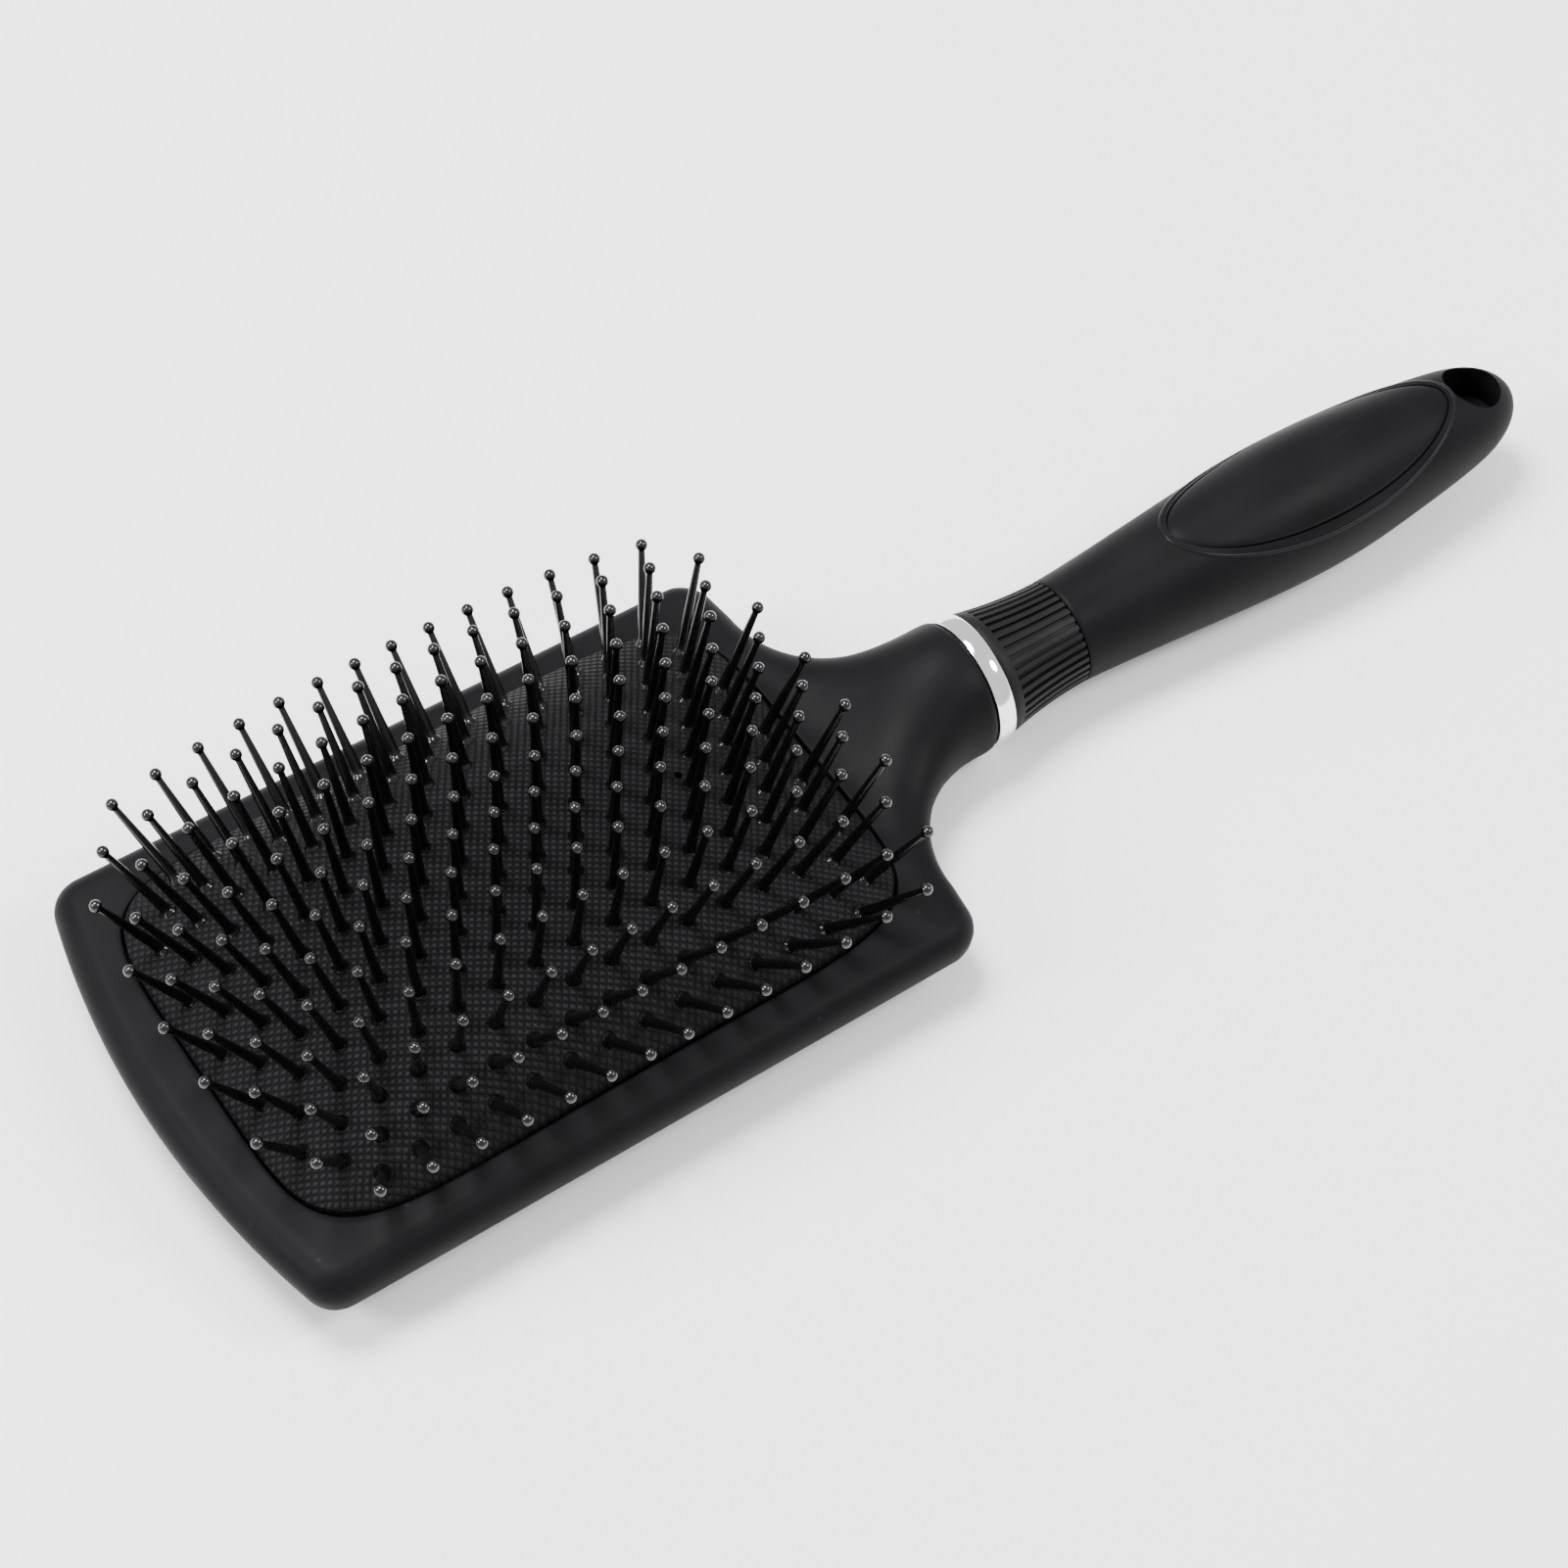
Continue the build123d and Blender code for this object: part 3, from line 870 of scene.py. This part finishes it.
def handle_radius(x):
    """Radius of the handle at a distance from the datum, in metres."""
    x = x / MM
    last_x, last_r = HANDLE_KNOTS[-1]
    if x >= last_x:
        t = min((x - last_x) / (HANDLE_TIP - last_x), 1.0)
        return (last_r - NOSE_SLOPE * (x - last_x)) * math.sqrt(max(1 - t ** 3.2, 0.0)) * MM
    for i in range(len(HANDLE_KNOTS) - 1):
        (x0, r0), (x1, r1) = HANDLE_KNOTS[i], HANDLE_KNOTS[i + 1]
        if x <= x1:
            break
    run = x1 - x0
    t = (x - x0) / run
    m0, m1 = knot_slope(i) * run, knot_slope(i + 1) * run
    radius = (r0 * (2 * t ** 3 - 3 * t ** 2 + 1) + m0 * (t ** 3 - 2 * t ** 2 + t)
              + r1 * (3 * t ** 2 - 2 * t ** 3) + m1 * (t ** 3 - t ** 2))
    return radius * MM


def surface_point(x, y, lift):
    """Point over the handle's upper side, lifted square off its surface."""
    radius = handle_radius(x)
    angle = math.asin(max(min(y / radius, 1.0), -1.0))
    r = radius + lift
    return Vector((x, r * math.sin(angle), r * math.cos(angle)))


def oval_point(angle, grow):
    """Point on the thumb pad's oval outline."""
    centre = 65.3 * MM
    return ((centre + (26.5 * MM + grow) * math.cos(angle)), (9.35 * MM + grow) * math.sin(angle))


def oval_block(grow, low, high, edge_round):
    """Closed oval block that follows the handle's surface from low to high above it."""
    sides, rings = 160, 28
    shares = [i / rings for i in range(1, rings)] + [0.985, 0.995, 1.0]
    verts = []
    for lift, is_top in ((high, True), (low, False)):
        centre = oval_point(0, 0)[0] - 26.5 * MM
        for share in shares:
            for j in range(sides):
                x, y = oval_point(math.tau * j / sides, grow)
                fall = edge_round * max(share - 0.975, 0) / 0.025 if is_top else 0.0
                verts.append(surface_point(centre + (x - centre) * share, y * share, lift - fall))
    layer = len(shares) * sides
    faces = grid_faces(len(shares), sides, True)
    faces += [tuple(reversed(f)) for f in grid_faces(len(shares), sides, True, layer)]
    faces.append(tuple(reversed(range(sides))))
    faces.append(tuple(range(layer, layer + sides)))
    top, low_edge = layer - sides, 2 * layer - sides
    for j in range(sides):
        k = (j + 1) % sides
        faces.append((top + j, top + k, low_edge + k, low_edge + j))
    return verts, faces


def handle_piece(material):
    """Turned handle with the thumb pad's pocket and the hanging recess cut in it."""
    first = HANDLE_KNOTS[0][0] * MM
    tip = HANDLE_TIP * MM
    profile = [(first, handle_radius(first) - 0.35 * MM), (first + 0.1 * MM, handle_radius(first) - 0.1 * MM)]
    body = 150
    start = first + 0.35 * MM
    knee = HANDLE_KNOTS[-1][0] * MM
    profile += [(start + (knee - start) * i / body, handle_radius(start + (knee - start) * i / body))
                for i in range(body)]
    for i in range(60):
        x = knee + (tip - knee) * math.sin(math.pi / 2 * i / 60)
        profile.append((x, handle_radius(x)))
    profile.append((tip, 0.05 * MM))
    verts, faces = turned_mesh(profile, 160)
    place = handle_matrix()
    piece = make_piece("turned_handle", [place @ v for v in verts], faces, material, "brush_body",
                       ["handle_shell"])
    block, sides = oval_block(0.14 * MM, -1.1 * MM, 2.0 * MM, 0.0)
    apply_boolean(piece, loose_object("pocket_cutter", [place @ v for v in block], sides))
    bore, lids = turned_mesh([(0.0, 4.8 * MM), (20 * MM, 4.8 * MM)], 96)
    centre = place @ Vector((97.8 * MM, 0, -1.2 * MM))
    upright = Matrix.Translation(centre) @ Matrix.Rotation(-math.pi / 2, 4, 'Y')
    apply_boolean(piece, loose_object("recess_cutter", [upright @ v for v in bore], lids))
    crease_angle(piece, 38)
    return piece


def thumb_piece(material):
    """Soft thumb pad let into the handle, with a rounded edge."""
    verts, faces = oval_block(0.0, -1.05 * MM, 0.0, 0.22 * MM)
    place = handle_matrix()
    piece = make_piece("oval_thumb_pad", [place @ v for v in verts], faces, material, "brush_body",
                       ["thumb_pad"])
    crease_angle(piece, 50)
    return piece


def bead_piece(sizes, material):
    """Raised bead round the thumb pad."""
    stations, sides = 220, 12
    verts = []
    for i in range(stations):
        angle = math.tau * i / stations
        inner = surface_point(*oval_point(angle, 0.75 * MM), 0.0)
        outer = surface_point(*oval_point(angle, 1.45 * MM), 0.0)
        across = (outer - inner).normalized()
        middle = (inner + outer) / 2
        up = Vector((0, middle.y, middle.z)).normalized()
        up = (up - across * up.dot(across)).normalized()
        for j in range(sides):
            a = math.tau * j / sides
            verts.append(middle + (across * math.cos(a) + up * math.sin(a) * 0.6) * sizes.bead_radius)
    faces = []
    for i in range(stations):
        n = (i + 1) % stations
        for j in range(sides):
            k = (j + 1) % sides
            faces.append((i * sides + j, n * sides + j, n * sides + k, i * sides + k))
    place = handle_matrix()
    return make_piece("thumb_pad_bead", [place @ v for v in verts], faces, material, "brush_body", [])


# ======================================================================
# Operators
# ======================================================================
def sizes_of(context):
    return context.scene.hair_brush_sizes


def finish_of(context, name):
    """Material for a finish, made the first time it is asked for."""
    colours = context.scene.hair_brush_colours
    makers = {
        "soft_touch": lambda: soft_touch_finish("soft_touch", tuple(colours.soft_black)),
        "thumb_soft": lambda: soft_touch_finish("thumb_soft", tuple(colours.soft_black), 0.44, 0.54),
        # painted highlight: the bead is the soft-touch black painted 1.6 times paler, and glossier
        "bead_gloss_highlight": lambda: soft_touch_finish("bead_gloss_highlight", lighter(colours.soft_black, 1.6), 0.22, 0.3),
        "pin_nylon": lambda: pin_finish(tuple(colours.pin_black)),
        "cushion_rubber": lambda: cushion_finish(tuple(colours.cushion_black)),
        "collar_rubber": lambda: grip_finish(tuple(colours.grip_black)),
        "ring_chrome": lambda: chrome_finish(tuple(colours.chrome)),
    }
    return bpy.data.materials.get(name) or makers[name]()


class BRUSH_OT_head(bpy.types.Operator):
    """Builds the head moulding with its neck"""
    bl_idname = "hair_brush.head"
    bl_label = "Head"

    def execute(self, context):
        head_piece(sizes_of(context), finish_of(context, "soft_touch"))
        return {'FINISHED'}


class BRUSH_OT_cushion(bpy.types.Operator):
    """Builds the domed rubber cushion"""
    bl_idname = "hair_brush.cushion"
    bl_label = "Cushion"

    def execute(self, context):
        piece = cushion_piece(sizes_of(context), finish_of(context, "cushion_rubber"))
        return {'FINISHED'}


class BRUSH_OT_pins(bpy.types.Operator):
    """Builds the rows of ball-tipped pins"""
    bl_idname = "hair_brush.pins"
    bl_label = "Pins"

    def execute(self, context):
        for number in range(len(ROWS)):
            pin_row(number, sizes_of(context), finish_of(context, "pin_nylon"))
        return {'FINISHED'}


class BRUSH_OT_ring(bpy.types.Operator):
    """Builds the plated ring"""
    bl_idname = "hair_brush.ring"
    bl_label = "Ring"

    def execute(self, context):
        ring_piece(finish_of(context, "ring_chrome"))
        return {'FINISHED'}


class BRUSH_OT_collar(bpy.types.Operator):
    """Builds the grooved rubber collar"""
    bl_idname = "hair_brush.collar"
    bl_label = "Collar"

    def execute(self, context):
        collar_piece(sizes_of(context), finish_of(context, "collar_rubber"))
        return {'FINISHED'}


class BRUSH_OT_handle(bpy.types.Operator):
    """Builds the turned handle, its thumb pad and the bead round it"""
    bl_idname = "hair_brush.handle"
    bl_label = "Handle"

    def execute(self, context):
        handle_piece(finish_of(context, "soft_touch"))
        thumb_piece(finish_of(context, "thumb_soft"))
        bead_piece(sizes_of(context), finish_of(context, "bead_gloss_highlight"))
        return {'FINISHED'}


def area_light(name, place, target, size, power):
    """A large soft light aimed at a point."""
    data = bpy.data.lights.new(name, 'AREA')
    data.shape = 'DISK'
    data.size = size
    data.energy = power
    lamp = bpy.data.objects.new(name, data)
    lamp.location = place
    lamp.rotation_euler = (Vector(target) - Vector(place)).to_track_quat('-Z', 'Y').to_euler()
    bpy.context.scene.collection.objects.link(lamp)


class BRUSH_OT_stage(bpy.types.Operator):
    """Sets the floor, the soft lights and the camera"""
    bl_idname = "hair_brush.stage"
    bl_label = "Stage"

    def execute(self, context):
        floor_finish, tree, shader = new_material("pale_floor")
        shade = context.scene.hair_brush_colours.floor
        shader.inputs["Base Color"].default_value = (*shade, 1)
        shader.inputs["Roughness"].default_value = 0.9
        mesh = bpy.data.meshes.new("floor")
        reach, drop = 4.0, -0.05 * MM
        corners = [(-reach, -reach, drop), (reach, -reach, drop), (reach, reach, drop), (-reach, reach, drop)]
        mesh.from_pydata(corners, [], [(0, 1, 2, 3)])
        mesh.materials.append(floor_finish)
        floor = bpy.data.objects.new("floor", mesh)
        context.scene.collection.objects.link(floor)
        world = bpy.data.worlds.new("studio")
        world.use_nodes = True
        world.node_tree.nodes["Background"].inputs["Color"].default_value = (1, 1, 1, 1)
        world.node_tree.nodes["Background"].inputs["Strength"].default_value = 1.0
        context.scene.world = world
        area_light("top_softbox", (-0.15, 0.35, 1.1), (0, 0, 0), 0.5, 26.0)
        area_light("left_softbox", (-0.85, 0.25, 0.65), (0, 0, 0), 0.30, 10.0)
        area_light("right_softbox", (0.55, -0.45, 0.85), (0, 0, 0), 0.30, 10.0)
        data = bpy.data.cameras.new("camera")
        data.lens = 91.74
        data.sensor_width = 36.0
        data.clip_start = 0.01
        camera = bpy.data.objects.new("camera", data)
        turn = Matrix(((0.8312, 0.4394, -0.3405), (-0.5555, 0.6793, -0.4795), (0.0206, 0.5877, 0.8088)))
        camera.matrix_world = Matrix.Translation((CUSHION_X - 0.1546, -0.2832, 0.4871)) @ turn.normalized().to_4x4()
        context.scene.collection.objects.link(camera)
        context.scene.camera = camera
        return {'FINISHED'}


class BRUSH_PT_panel(bpy.types.Panel):
    """Lists the brush's pieces in the sidebar"""
    bl_idname = "BRUSH_PT_panel"
    bl_label = "Hair Brush"
    bl_space_type = 'VIEW_3D'
    bl_region_type = 'UI'
    bl_category = "Hair Brush"

    def draw(self, context):
        for part in PIECE_OPERATORS:
            self.layout.operator(part.bl_idname, text=part.bl_label)
        for group in (context.scene.hair_brush_sizes, context.scene.hair_brush_colours):
            for key in group.bl_rna.properties.keys():
                if key not in {"rna_type", "name"}:
                    self.layout.prop(group, key)


PIECE_OPERATORS = (BRUSH_OT_head, BRUSH_OT_cushion, BRUSH_OT_pins, BRUSH_OT_ring, BRUSH_OT_collar,
                   BRUSH_OT_handle, BRUSH_OT_stage)
CLASSES = (HairBrushSizes, HairBrushColours, *PIECE_OPERATORS, BRUSH_PT_panel)


def register():
    for item in CLASSES:
        bpy.utils.register_class(item)
    bpy.types.Scene.hair_brush_sizes = PointerProperty(type=HairBrushSizes)
    bpy.types.Scene.hair_brush_colours = PointerProperty(type=HairBrushColours)


def unregister():
    del bpy.types.Scene.hair_brush_colours
    del bpy.types.Scene.hair_brush_sizes
    for item in reversed(CLASSES):
        bpy.utils.unregister_class(item)


def main():
    register()
    bpy.ops.hair_brush.head()
    bpy.ops.hair_brush.cushion()
    bpy.ops.hair_brush.pins()
    bpy.ops.hair_brush.ring()
    bpy.ops.hair_brush.collar()
    bpy.ops.hair_brush.handle()
    bpy.ops.hair_brush.stage()


if __name__ == "__main__":
    main()
